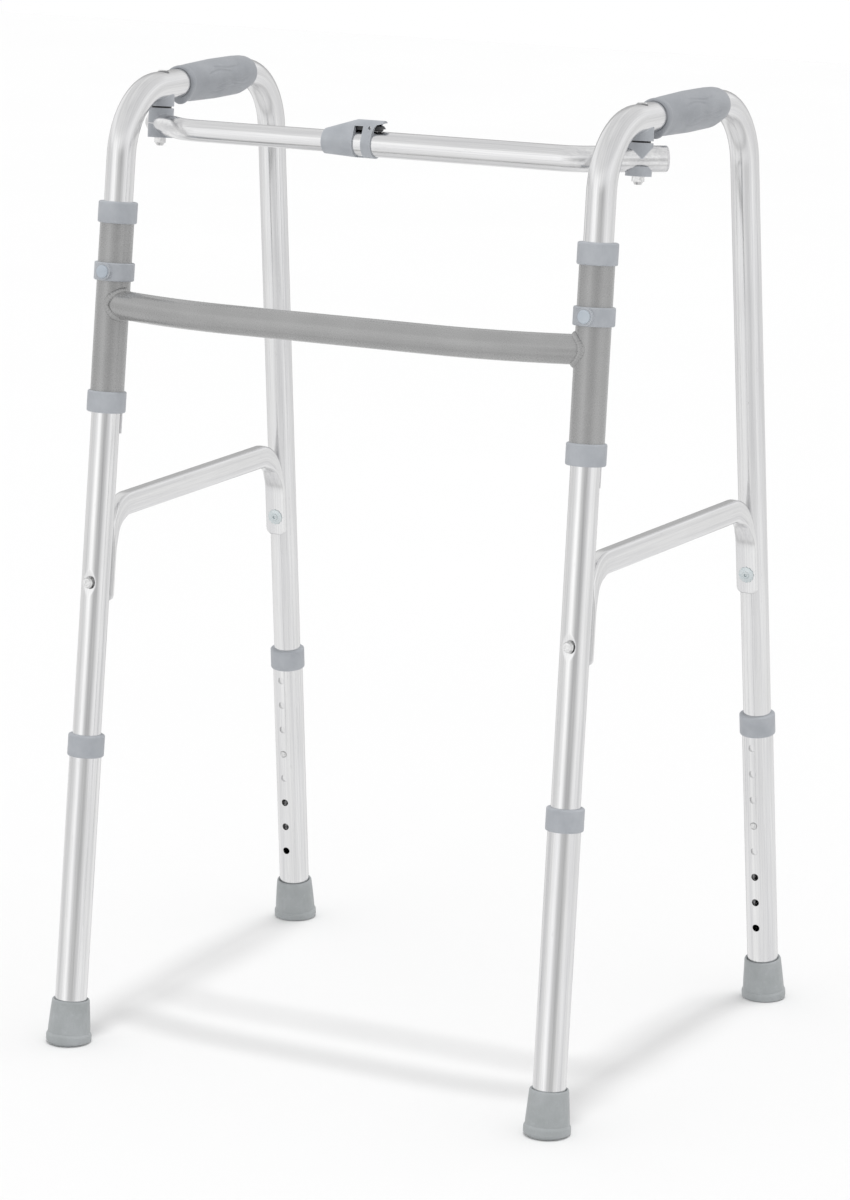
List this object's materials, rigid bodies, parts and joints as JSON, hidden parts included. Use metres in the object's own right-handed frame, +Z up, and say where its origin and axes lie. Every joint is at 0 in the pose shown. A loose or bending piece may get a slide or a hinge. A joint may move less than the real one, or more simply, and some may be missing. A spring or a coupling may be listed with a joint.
{
  "type": "folding walking frame",
  "caption": "Height-adjustable folding walking frame with two side frames that fold inwards, a bowed front crossbar and a telescopic top bar.",
  "frame": {"origin": "centre of the footprint's bounding box, on the floor under the feet", "axes": "+Z up; +Y from the front crossbar towards the user; +X to the right as seen from in front of the crossbar"},
  "size_m": [0.5472, 0.4786, 0.8655],
  "materials": {
    "aluminium_tube": "satin anodised with drawn streaks",
    "grey_paint": "satin grey coat",
    "painted_weld": "painted weld ripples",
    "blue_grey_plastic": "moulded blue-grey",
    "button_plastic": "moulded",
    "grey_rubber": "moulded grey",
    "grey_vinyl": "soft vinyl",
    "blue_zinc_steel": "blue zinc",
    "bright_steel": "bright",
    "spring_steel": "polished",
    "black_rubber": "soft",
    "black_plastic": "moulded",
    "pale_nylon": "nylon",
    "cast_bracket": "tumbled casting",
    "aluminium_cap": "satin"
  },
  "bodies": {
    "h_frame": {"left_sleeve": "grey_paint", "right_sleeve": "grey_paint", "crossbar": "grey_paint", "weld_beads": "painted_weld", "sleeve_collars": "blue_grey_plastic", "left_lock_ring": "blue_grey_plastic", "right_lock_ring": "blue_grey_plastic"},
    "left_lock": {"left_lock_button": "button_plastic"},
    "left_side": {"left_side_tube": "aluminium_tube", "left_grip": "grey_vinyl", "left_brace": "aluminium_tube", "left_brace_bolt": "bright_steel", "left_brace_screw": "blue_zinc_steel", "left_stop_clip": "pale_nylon", "left_bracket_block": "cast_bracket", "left_front_snap_button": "spring_steel", "left_rear_snap_button": "spring_steel", "left_pivot_bolt": "bright_steel"},
    "left_front_leg": {"left_front_lower_tube": "aluminium_tube", "left_front_leg_collar": "blue_grey_plastic", "left_front_foot": "grey_rubber"},
    "left_rear_leg": {"left_rear_lower_tube": "aluminium_tube", "left_rear_leg_collar": "blue_grey_plastic", "left_rear_foot": "grey_rubber"},
    "right_lock": {"right_lock_button": "button_plastic"},
    "right_side": {"right_side_tube": "aluminium_tube", "right_grip": "grey_vinyl", "right_brace": "aluminium_tube", "right_brace_bolt": "bright_steel", "right_brace_screw": "blue_zinc_steel", "right_stop_clip": "pale_nylon", "right_bracket_block": "cast_bracket", "right_front_snap_button": "spring_steel", "right_rear_snap_button": "spring_steel"},
    "right_front_leg": {"right_front_lower_tube": "aluminium_tube", "right_front_leg_collar": "blue_grey_plastic", "right_front_foot": "grey_rubber"},
    "right_rear_leg": {"right_rear_lower_tube": "aluminium_tube", "right_rear_leg_collar": "blue_grey_plastic", "right_rear_foot": "grey_rubber"},
    "bar_pivot": {"right_pivot_bolt": "bright_steel", "right_cap_nut": "bright_steel", "right_slip_washer": "black_rubber"},
    "bar_outer": {"bar_outer_tube": "aluminium_tube", "bar_end_cap": "aluminium_cap", "right_swivel_block": "cast_bracket", "right_lower_saddle": "cast_bracket", "latch_housing": "blue_grey_plastic", "latch_pin": "bright_steel"},
    "latch": {"latch_lever": "black_plastic"},
    "bar_slip": {"bar_bush": "pale_nylon"},
    "bar_inner": {"bar_inner_tube": "aluminium_tube", "left_swivel_block": "cast_bracket", "left_lower_saddle": "cast_bracket", "left_pivot_stud": "bright_steel", "left_cap_nut": "bright_steel", "left_slip_washer": "black_rubber", "bar_snap_button": "spring_steel"}
  },
  "joints": [
    {"name": "left_side_fold", "type": "hinge", "parent": "h_frame", "child": "left_side", "pos_m": [-0.2343, -0.15289, 0.65664], "axis": [-0.0096, -0.1003, -0.9949], "range_deg": [0, 80], "deforming": ["bar_snap_button", "left_slip_washer"]},
    {"name": "left_lock_press", "type": "slide", "parent": "h_frame", "child": "left_lock", "axis": [0, 0.995, -0.1003], "range_m": [0, 0.0018], "stiffness_N_per_m": 600, "springref_m": -0.002},
    {"name": "left_front_leg_slide", "type": "slide", "parent": "left_side", "child": "left_front_leg", "axis": [0.0096, 0.1003, 0.9949], "range_m": [-0.0762, 0.1016], "deforming": ["left_front_snap_button"]},
    {"name": "left_rear_leg_slide", "type": "slide", "parent": "left_side", "child": "left_rear_leg", "axis": [0.0153, -0.0996, 0.9949], "range_m": [-0.0762, 0.1016], "deforming": ["left_rear_snap_button"]},
    {"name": "right_side_fold", "type": "hinge", "parent": "h_frame", "child": "right_side", "pos_m": [0.2343, -0.15289, 0.65664], "axis": [-0.0096, 0.1003, 0.9949], "range_deg": [0, 55]},
    {"name": "right_lock_press", "type": "slide", "parent": "h_frame", "child": "right_lock", "axis": [0, 0.995, -0.1003], "range_m": [0, 0.0018], "stiffness_N_per_m": 600, "springref_m": -0.002},
    {"name": "right_front_leg_slide", "type": "slide", "parent": "right_side", "child": "right_front_leg", "axis": [-0.0096, 0.1003, 0.9949], "range_m": [-0.0762, 0.1016], "deforming": ["right_front_snap_button"]},
    {"name": "right_rear_leg_slide", "type": "slide", "parent": "right_side", "child": "right_rear_leg", "axis": [-0.0153, -0.0996, 0.9949], "range_m": [-0.0762, 0.1016], "deforming": ["right_rear_snap_button"]},
    {"name": "bar_pivot_turn", "type": "hinge", "parent": "right_side", "child": "bar_pivot", "pos_m": [0.23467, -0.06968, 0.81544], "axis": [-0.0096, 0.1003, 0.9949], "range_deg": [-1, 9]},
    {"name": "bar_turn", "type": "hinge", "parent": "bar_pivot", "child": "bar_outer", "pos_m": [0.23467, -0.06968, 0.81544], "axis": [-0.0096, 0.1003, 0.9949], "range_deg": [-60, 1]},
    {"name": "bar_slip_slide", "type": "slide", "parent": "bar_outer", "child": "bar_slip", "axis": [1, 0, 0], "range_m": [-0.001, 0.056]},
    {"name": "bar_inner_slide", "type": "slide", "parent": "bar_slip", "child": "bar_inner", "axis": [1, 0, 0], "range_m": [-0.001, 0.064]},
    {"name": "latch_press", "type": "hinge", "parent": "bar_outer", "child": "latch", "pos_m": [-0.0015, -0.10228, 0.8297], "axis": [0, 1, 0], "range_deg": [0, 6], "stiffness_Nm_per_rad": 0.02, "springref_deg": -8.59}
  ],
  "couplings": [
    {"joint": "bar_pivot_turn", "follows": "left_side_fold", "ratio": 0.094449},
    {"joint": "bar_turn", "follows": "right_side_fold", "ratio": -1.0676},
    {"joint": "bar_slip_slide", "follows": "right_side_fold", "m_per_rad": 0.057024},
    {"joint": "bar_inner_slide", "follows": "left_side_fold", "m_per_rad": 0.045798}
  ]
}
